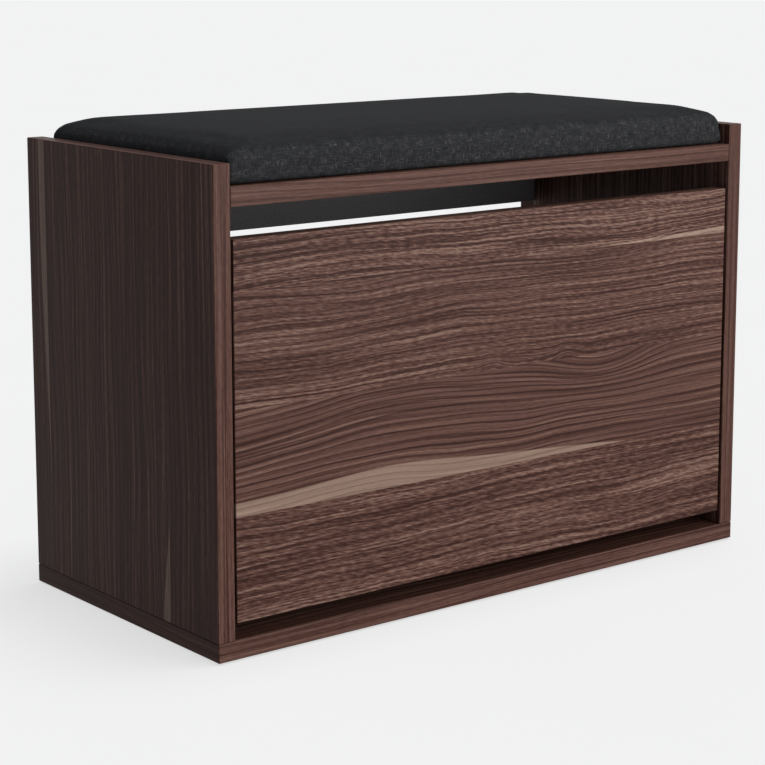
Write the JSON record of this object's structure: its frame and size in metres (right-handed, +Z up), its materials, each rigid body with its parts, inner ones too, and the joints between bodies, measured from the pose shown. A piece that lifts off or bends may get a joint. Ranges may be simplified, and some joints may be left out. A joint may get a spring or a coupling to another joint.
{
  "type": "storage bench",
  "caption": "Low bench with an upholstered seat between raised sides and a full-width front that tilts out with a shoe rack behind it.",
  "frame": {"origin": "on the floor, under the middle of the carcass", "axes": "+X along the bench's width, to the right as seen from the front; +Y from the front to the back; +Z up"},
  "size_m": [0.675, 0.33, 0.4778],
  "materials": {
    "walnut_board": "dark brown walnut-grain laminate board, satin",
    "dark_board": "plain charcoal laminate board, matte",
    "fabric": "charcoal plain-woven heathered upholstery cloth over foam",
    "plywood": "raw plywood",
    "beech": "raw beech dowel",
    "black_plastic": "black moulded plastic, fine texture",
    "zinc": "zinc-plated steel and die-cast zinc"
  },
  "bodies": {
    "carcass": {"back_rail_lower": "dark_board", "back_rail_upper": "dark_board", "base_board": "walnut_board", "base_dowel_left_back": "beech", "base_dowel_left_front": "beech", "base_dowel_right_back": "beech", "base_dowel_right_front": "beech", "base_screw_left_back": "zinc", "base_screw_left_front": "zinc", "base_screw_right_back": "zinc", "base_screw_right_front": "zinc", "cam_bolt_lower_rail_left": "zinc", "cam_bolt_lower_rail_right": "zinc", "cam_bolt_seat_left_back": "zinc", "cam_bolt_seat_left_front": "zinc", "cam_bolt_seat_right_back": "zinc", "cam_bolt_seat_right_front": "zinc", "cam_bolt_upper_rail_left": "zinc", "cam_bolt_upper_rail_right": "zinc", "cam_lock_lower_rail_left": "zinc", "cam_lock_lower_rail_right": "zinc", "cam_lock_seat_left_back": "zinc", "cam_lock_seat_left_front": "zinc", "cam_lock_seat_right_back": "zinc", "cam_lock_seat_right_front": "zinc", "cam_lock_upper_rail_left": "zinc", "cam_lock_upper_rail_right": "zinc", "cushion_board": "plywood", "cushion_screw_left_back": "zinc", "cushion_screw_left_front": "zinc", "cushion_screw_right_back": "zinc", "cushion_screw_right_front": "zinc", "glide_left_back": "black_plastic", "glide_left_front": "black_plastic", "glide_right_back": "black_plastic", "glide_right_front": "black_plastic", "pivot_bush_left": "black_plastic", "pivot_bush_right": "black_plastic", "seat_board": "walnut_board", "seat_cushion": "fabric", "side_panel_left": "walnut_board", "side_panel_right": "walnut_board", "stop_pin_left": "zinc", "stop_pin_right": "zinc"},
    "tilting_front": {"door_panel": "walnut_board", "pivot_pin_left": "zinc", "pivot_pin_right": "zinc", "plate_screw_left_lower": "zinc", "plate_screw_left_upper": "zinc", "plate_screw_right_lower": "zinc", "plate_screw_right_upper": "zinc", "rack_divider": "dark_board", "rack_floor_front": "dark_board", "rack_floor_rear": "dark_board", "rack_wall_rear": "dark_board", "tilt_plate_left": "black_plastic", "tilt_plate_right": "black_plastic"}
  },
  "joints": [
    {"name": "door_tilt", "type": "hinge", "parent": "carcass", "child": "tilting_front", "pos_m": [0, -0.135, 0.0615], "axis": [1, 0, 0], "range_deg": [0, 48]}
  ]
}
